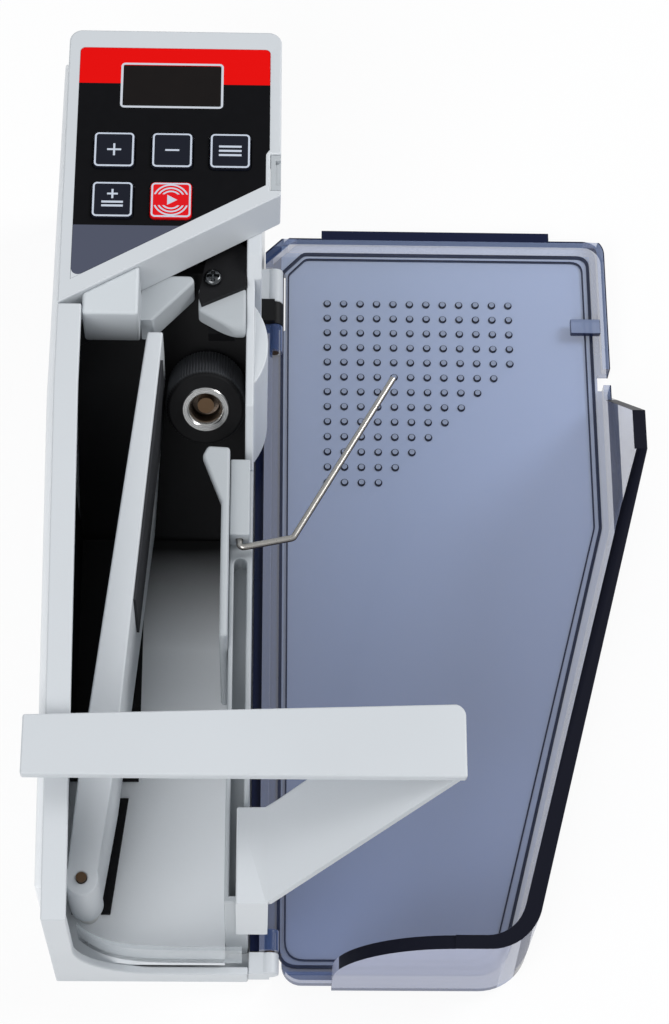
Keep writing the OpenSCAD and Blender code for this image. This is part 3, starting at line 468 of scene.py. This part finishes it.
def start_mark(x, y):
    far = (x * x + y * y).root()
    inner, middle, outer = ((far > low) & (far < low + 0.5) for low in (2.7, 3.8, 4.9))
    rings = inner | middle | outer
    arrow = (x > -1.1) & (abs(y) < (1.9 - x) * 0.58)
    return (rings & (abs(y) > 1.9)) | arrow


SLATE_KEY = linear(24, 27, 38)
KEYS = {
    "key_plus": ((-17.6, 91.4), SLATE_KEY, plus_mark),
    "key_minus": ((-0.2, 91.4), SLATE_KEY, minus_mark),
    "key_batch": ((17.2, 91.4), SLATE_KEY, stack_mark),
    "key_add": ((-17.6, 74.0), SLATE_KEY, add_mark),
    "key_start": ((-0.2, 74.0), linear(222, 18, 26), start_mark),
}


# Pieces

def body_of(node):
    """The body that a node moves with."""
    for body, members in frame["record"]["behaviour"]["bodies"].items():
        if node in members:
            return body


def slot_of(node):
    """The material slot of a node."""
    for entry in frame["record"]["subparts"]:
        if entry["node"] == node:
            return entry["material_slot"]


def new_piece(name, shape, finish, body, slot, smooth=35):
    """A piece from a bmesh, smooth where its faces meet at less than an angle."""
    mesh = bpy.data.meshes.new(name)
    shape.to_mesh(mesh)
    shape.free()
    piece = bpy.data.objects.new(name, mesh)
    scene.collection.objects.link(piece)
    mesh.materials.append(finish)
    for face in mesh.polygons:
        face.use_smooth = True
    mesh.set_sharp_from_angle(angle=math.radians(smooth))
    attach(piece, body)
    return piece


def has_room(edge, sharp, width):
    """Whether an edge can be rounded by a width without running into the edges next to it."""
    for loop in edge.link_loops:
        way = loop.link_loop_next.vert.co - loop.vert.co
        for other in (loop.link_loop_prev, loop.link_loop_next):
            on = other.link_loop_next.vert.co - other.vert.co
            runs_on = other.edge in sharp and way.angle(on, 0.0) < math.radians(40)
            need = 2.2 * width if other.edge in sharp else 1.1 * width
            if not runs_on and other.edge.calc_length() < need:
                return False
    return True


def rounded(node, finish, width, steps=2):
    """A node's own shape with its outer edges rounded as a moulding's are."""
    shape = bmesh.new()
    shape.from_mesh(frame["nodes"][node].data)
    bmesh.ops.remove_doubles(shape, verts=shape.verts, dist=1e-6)
    bmesh.ops.dissolve_limit(shape, angle_limit=math.radians(1), verts=shape.verts,
                             edges=shape.edges)
    sharp = {e for e in shape.edges
             if len(e.link_faces) == 2 and e.is_convex and e.calc_face_angle() > math.radians(28)}
    roomy = [e for e in shape.edges if e in sharp and has_room(e, sharp, width * MM)]
    bmesh.ops.bevel(shape, geom=roomy, offset=width * MM, offset_type="OFFSET", segments=steps,
                    profile=0.5, affect="EDGES", clamp_overlap=False)
    bmesh.ops.dissolve_degenerate(shape, dist=1e-6, edges=shape.edges)
    piece = new_piece(node + "_moulding", shape, finish, body_of(node), slot_of(node))
    even = piece.modifiers.new("even_shading", "WEIGHTED_NORMAL")
    even.keep_sharp = True
    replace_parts(piece, node)


def keep(node, finish):
    """A node shown as it is, with a finish."""
    slots = frame["nodes"][node].data.materials
    slots.clear()
    slots.append(finish)


def skin(shape, rings):
    """Faces between each ring of points and the next."""
    for a, b in zip(rings, rings[1:]):
        for k in range(len(a)):
            n = (k + 1) % len(a)
            shape.faces.new((a[k], a[n], b[n], b[k]))


def tube(points, radius, sides=20):
    """A round wire along points, with its ends closed."""
    shape = bmesh.new()
    rings = []
    side = Vector((0, 0, 1))
    for i, p in enumerate(points):
        ahead = (points[min(i + 1, len(points) - 1)] - points[max(i - 1, 0)]).normalized()
        across = ahead.cross(side).normalized()
        ring = []
        for k in range(sides):
            turn = 2 * math.pi * k / sides
            ring.append(shape.verts.new(p + radius * (math.cos(turn) * across + math.sin(turn) * side)))
        rings.append(ring)
    skin(shape, rings)
    shape.faces.new(rings[0][::-1])
    shape.faces.new(rings[-1])
    bmesh.ops.recalc_face_normals(shape, faces=shape.faces)
    return shape


def bend(before, at, after, radius, steps):
    """Points of a smooth bend in the place of a corner."""
    back = (before - at).normalized()
    on = (after - at).normalized()
    cut = radius / math.tan(back.angle(on) / 2)
    start, end = at + cut * back, at + cut * on
    shares = [i / steps for i in range(steps + 1)]
    return [(1 - t) ** 2 * start + 2 * t * (1 - t) * at + t * t * end for t in shares]


def eased(corners, radius, steps=8):
    """A line through corners, with each inner corner rounded."""
    out = [corners[0]]
    for before, at, after in zip(corners, corners[1:], corners[2:]):
        out += bend(before, at, after, radius, steps)
    out.append(corners[-1])
    return out


# Housing and its inside
for node in ("base_shell", "head_cover", "feed_housing"):
    rounded(node, white_shell, 0.5)
# The left side cover is painted paler than the shell's white: a painted highlight for the light on its
# side.
rounded("left_side_cover", moulded("side_white_painted_light", linear(244, 246, 248)), 0.8)
rounded("note_bracket", white_shell, 0.6)
rounded("press_lever", white_shell, 0.6)
for node in ("wire_bush", "hopper_right_wall"):
    rounded(node, white_inside, 0.5)
for node in ("upper_guide", "lower_guide"):
    rounded(node, white_inside, 1.0, 3)
rounded("left_guide", guide_finish(), 1.0, 3)
keep("hopper_floor", floor_plate_finish())
# The hopper_liner is a black plate, partly put where the hopper lies in deep shade: painted shade.
for node in ("hopper_liner", "feed_cap", "feed_plate", "hinge_block", "count_sensor",
             "battery_holder", "dc_jack", "display_module", "key_switches"):
    keep(node, black_moulding)
keep("front_guide", film_finish())
rounded("latch_catch", white_inside, 0.2)
keep("battery_door", white_shell)
for node in ("feet", "lever_pad"):
    keep(node, black_rubber)
for node in ("motor", "lever_spring", "board_screws"):
    keep(node, bright_steel)
for node in ("motor_shaft", "shaft_bush", "lever_pin", "hinge_pins"):
    keep(node, pin_brass)
keep("control_board", green_board)
keep("batteries", cell_sleeve)

# Panel
keep("panel_overlay", overlay_finish())
rounded("display_window", lens_finish(), 0.3)
for node, (at, face, mark) in KEYS.items():
    rounded(node, key_finish(node + "_print", at, face, mark), 0.4)


# Feed

ROLLER_FRAME = Matrix.Translation(ROLLER_AT * MM) @ Matrix.Rotation(ROLLER_LEAN, 4, "X")


def turned(profile, sides=72, rib=0.0):
    """A ring turned from rows of radius, height and whether ribs go round it there."""
    shape = bmesh.new()
    rings = []
    for radius, height, ribbed in profile:
        ring = []
        for k in range(sides):
            turn = 2 * math.pi * k / sides
            r = radius - (rib if ribbed and k % 2 else 0.0)
            ring.append(shape.verts.new(Vector((r * math.cos(turn), r * math.sin(turn), height)) * MM))
        rings.append(ring)
    skin(shape, rings + rings[:1])
    bmesh.ops.recalc_face_normals(shape, faces=shape.faces)
    bmesh.ops.transform(shape, matrix=ROLLER_FRAME, verts=shape.verts)
    return shape


TYRE_PROFILE = (
    (7.2, 0.0, False), (10.9, 0.0, False), (11.5, -0.4, False), (12.2, -1.8, True),
    (12.25, -17.2, True), (11.6, -18.0, False), (7.2, -18.0, False))
TYRE_SIDES = 160
RIB_DEPTH = 0.4
HUB_PROFILE = (
    (2.5, -6.0, False), (4.2, -6.0, False), (4.4, -5.7, False), (4.4, -1.6, False),
    (5.2, 0.3, False), (5.6, 0.6, False), (6.9, 0.6, False), (7.2, 0.2, False),
    (7.2, -18.0, False), (2.5, -18.0, False))
roller = new_piece("roller_tyre", turned(TYRE_PROFILE, TYRE_SIDES, RIB_DEPTH), tyre_finish(),
                   "rotor", "rubber", 20)
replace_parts(roller, "feed_roller")
hub = new_piece("roller_bush", turned(HUB_PROFILE), hub_finish(), "rotor", "steel")
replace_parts(hub, "roller_hub")

# Wire finger
WIRE_CORNERS = ((21.2, 7.0, 62.0), (21.2, -19.5, 62.0), (37.2, -16.1, 62.0), (67.7, 37.9, 62.0))
WIRE_RADIUS = 1.0
WIRE_BEND = 1.5
wire_path = eased([Vector(p) * MM for p in WIRE_CORNERS], WIRE_BEND * MM)
wire = new_piece("wire_rod", tube(wire_path, WIRE_RADIUS * MM), wire_finish(), "wire", "steel")
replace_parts(wire, "wire_finger")


# Screw

SCREW_SIDES = 72
SCREW_RINGS = 24


def cross_screw(low, high, name):
    """A pan-head screw: a dome with a cross sunk into it, and a shank below."""
    shape = bmesh.new()
    mid = (low + high) / 2
    radius = (high.x - low.x) / 2
    head = radius * 0.62
    arm, half, sunk = radius * 0.62, radius * 0.15, radius * 0.4
    rings = []
    turns = [2 * math.pi * k / SCREW_SIDES for k in range(SCREW_SIDES)]
    for i in range(1, SCREW_RINGS + 1):
        r = radius * i / SCREW_RINGS
        ring = []
        for turn in turns:
            x, y = r * math.cos(turn), r * math.sin(turn)
            away = max(min(abs(x), abs(y)) - half, max(abs(x), abs(y)) - arm)
            dip = sunk * min(1.0, max(0.0, 0.5 - away / (0.12 * radius)))
            dome = head * math.sqrt(max(0.0, 1 - (r / radius) ** 4))
            ring.append(shape.verts.new((mid.x + x, mid.y + y, high.z - head + dome - dip)))
        rings.append(ring)
    shank = 0.4 * radius
    for z in (high.z - head, low.z):
        rings.append([shape.verts.new((mid.x + shank * math.cos(turn),
                                       mid.y + shank * math.sin(turn), z)) for turn in turns])
    skin(shape, rings)
    shape.faces.new(rings[0])
    shape.faces.new(rings[-1][::-1])
    bmesh.ops.recalc_face_normals(shape, faces=shape.faces)
    return new_piece(name, shape, shaded_steel, "housing", "steel")


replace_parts(cross_screw(*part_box("guide_screw"), "cross_screw"), "guide_screw")

# Tray
smoke = tray_finish()
edge = tray_line_finish()
rounded("tray", smoke, 0.15)
rounded("tray_latch", tongue_finish(), 0.4)


def flat_ring(points, width, low, high):
    """A closed rib along points in the XY plane."""
    shape = bmesh.new()
    count = len(points)
    quads = []
    for i, p in enumerate(points):
        ahead = (points[(i + 1) % count] - p).normalized()
        back = (p - points[i - 1]).normalized()
        way = (ahead + back).normalized()
        out = Vector((way.y, -way.x))
        reach = width / 2 / max(0.4, out.dot(Vector((ahead.y, -ahead.x))))
        row = []
        for side, z in ((1, low), (1, high), (-1, high), (-1, low)):
            q = p + side * reach * out
            row.append(shape.verts.new(Vector((q.x, q.y, z)) * MM))
        quads.append(row)
    skin(shape, quads + quads[:1])
    bmesh.ops.recalc_face_normals(shape, faces=shape.faces)
    return shape


def closed_eased(corners, radii):
    """A closed outline with each corner rounded by its own radius."""
    out = []
    count = len(corners)
    for i, at in enumerate(corners):
        out += bend(corners[i - 1], at, corners[(i + 1) % count], radii[i], 6)
    return out


# The step round the tray's floor: its corners, the way in from each, and their radii.
STEP_CORNERS = ((34.0, -131.5), (101.0, -131.5), (137.6, 13.8), (137.6, 115.0), (41.0, 115.0),
                (34.0, 107.5))
STEP_WAYS = ((1, 1), (-1.2, 1), (-1, 0.1), (-1, -1), (0.4, -1), (1, -0.4))
STEP_RADII = (6, 10, 6, 4, 3, 3)
STEP_LOW, STEP_HIGH = 4.4, 5.3
for name, inset, width in (("tray_rib", 0.0, 1.0), ("tray_rib_inner", 2.0, 0.5)):
    corners = [Vector(c) + inset * Vector(w) for c, w in zip(STEP_CORNERS, STEP_WAYS)]
    line = flat_ring(closed_eased(corners, STEP_RADII), width, STEP_LOW, STEP_HIGH)
    new_piece(name, line, edge, "tray", "clear_plastic")


# A dot's shares of its height and of its radius.
DOT_PROFILE = ((-0.2, 1.0), (0.4, 1.0), (1.0, 0.68))


def domes(rows, first, pitch, radius, height, z, sides=12):
    """Rows of small raised dots."""
    shape = bmesh.new()
    for row, count in enumerate(rows):
        for column in range(count):
            at = Vector((first[0] + column * pitch, first[1] - row * pitch, z))
            rings = []
            for lift, r in DOT_PROFILE:
                ring = []
                reach = r * radius
                for k in range(sides):
                    turn = 2 * math.pi * k / sides
                    out = Vector((reach * math.cos(turn), reach * math.sin(turn), lift * height))
                    ring.append(shape.verts.new((at + out) * MM))
                rings.append(ring)
            skin(shape, rings)
            shape.faces.new(rings[0][::-1])
            shape.faces.new(rings[-1])
    bmesh.ops.recalc_face_normals(shape, faces=shape.faces)
    return shape


DOT_ROWS = (12, 12, 12, 12, 12, 11, 10, 9, 8, 7, 6, 5, 4)
DOT_FIRST = (49.1, 96.0)
DOT_PITCH = 5.54
DOT_RADIUS = 1.3
DOT_HEIGHT = 0.8
TRAY_FLOOR_Z = 4.6
dots = domes(DOT_ROWS, DOT_FIRST, DOT_PITCH, DOT_RADIUS, DOT_HEIGHT, TRAY_FLOOR_Z)
new_piece("tray_dots", dots, dot_finish(), "tray", "clear_plastic")

# Stage, light and camera

ground = bmesh.new()
for x, y in ((-2, -2), (2, -2), (2, 2), (-2, 2)):
    ground.verts.new((x, y, 0.0))
ground.faces.new(ground.verts)
ground_mesh = bpy.data.meshes.new("floor")
ground.to_mesh(ground_mesh)
ground.free()
floor_piece = bpy.data.objects.new("floor", ground_mesh)
scene.collection.objects.link(floor_piece)


# The floor doesn't glow under the body, which would shine through its gaps.
BODY_MID_X = -2.5
BODY_HALF = (30.4, 130.0)


def floor_finish():
    """Pale paper that looks white to the camera and keeps a soft shadow."""
    f = Finish("floor_paper")
    f.set(Base_Color=f.mix(f.noise(4.0), (0.9, 0.9, 0.9, 1), (0.93, 0.93, 0.93, 1)), Roughness=0.8)
    seen = f.ray("Is Camera Ray", "Is Glossy Ray", "Is Transmission Ray")
    x, y, z = f.axes()
    open_floor = 1.0 - bar(x - BODY_MID_X, y, *BODY_HALF)
    glow = f.node("ShaderNodeEmission", None, {"Color": (1, 1, 1, 1), "Strength": 1.0})
    paper = Signal(f, f.shader.outputs[0])
    both = f.node("ShaderNodeMixShader", None, {0: 0.9 * seen * open_floor, 1: paper, 2: glow})
    f.feed(f.tree.nodes["Material Output"].inputs["Surface"], both)
    return f.material


ground_mesh.materials.append(floor_finish())

scene.world = bpy.data.worlds.new("studio")
scene.world.use_nodes = True
scene.world.node_tree.nodes.clear()
sky = Graph(scene.world.node_tree)
dome = sky.node("ShaderNodeBackground", None, {"Color": (0.94, 0.97, 1.0, 1), "Strength": 0.46})
white = sky.node("ShaderNodeBackground", None, {"Color": (1, 1, 1, 1), "Strength": 1.0})
seen = sky.ray("Is Camera Ray", "Is Transmission Ray")
both = sky.node("ShaderNodeMixShader", None, {0: seen, 1: dome, 2: white})
sky.feed(sky.tree.nodes.new("ShaderNodeOutputWorld").inputs["Surface"], both)


def lamp(name, at, aim, size, power):
    """A square soft light, with its place in metres and its power in watts."""
    light = bpy.data.lights.new(name, "AREA")
    light.size = size
    light.energy = power
    lamp_object = bpy.data.objects.new(name, light)
    lamp_object.location = at
    lamp_object.rotation_euler = (Vector(aim) - Vector(at)).to_track_quat("-Z", "Y").to_euler()
    scene.collection.objects.link(lamp_object)


LIGHT_AIM = (0.03, 0.0, 0.04)
lamp("key_light", (1.0, 0.42, 0.95), LIGHT_AIM, 0.5, 9.5)
lamp("front_light", (-0.5, -0.9, 1.05), LIGHT_AIM, 0.9, 9.5)

# The camera, fitted to straight edges of the tray and the head
FOCAL_PIXELS = 2597.65
PICTURE_HEIGHT = 1024
SENSOR_HEIGHT = 36.0
EYE = Vector((27.47, -332.96, 769.84)) * MM
AHEAD = Vector((0.02835, 0.41769, -0.90815))
RIGHT = Vector((0.99955, -0.00260, 0.03001))
camera_data = bpy.data.cameras.new("camera")
camera_data.sensor_fit = "VERTICAL"
camera_data.sensor_height = SENSOR_HEIGHT
camera_data.lens = FOCAL_PIXELS / PICTURE_HEIGHT * SENSOR_HEIGHT
camera = bpy.data.objects.new("camera", camera_data)
scene.collection.objects.link(camera)
AHEAD.normalize()
UP = RIGHT.cross(AHEAD).normalized()
SIDE = AHEAD.cross(UP).normalized()
camera.matrix_world = Matrix((
    (SIDE.x, UP.x, -AHEAD.x, EYE.x),
    (SIDE.y, UP.y, -AHEAD.y, EYE.y),
    (SIDE.z, UP.z, -AHEAD.z, EYE.z),
    (0, 0, 0, 1)))
scene.camera = camera

scene.view_settings.view_transform = "Standard"
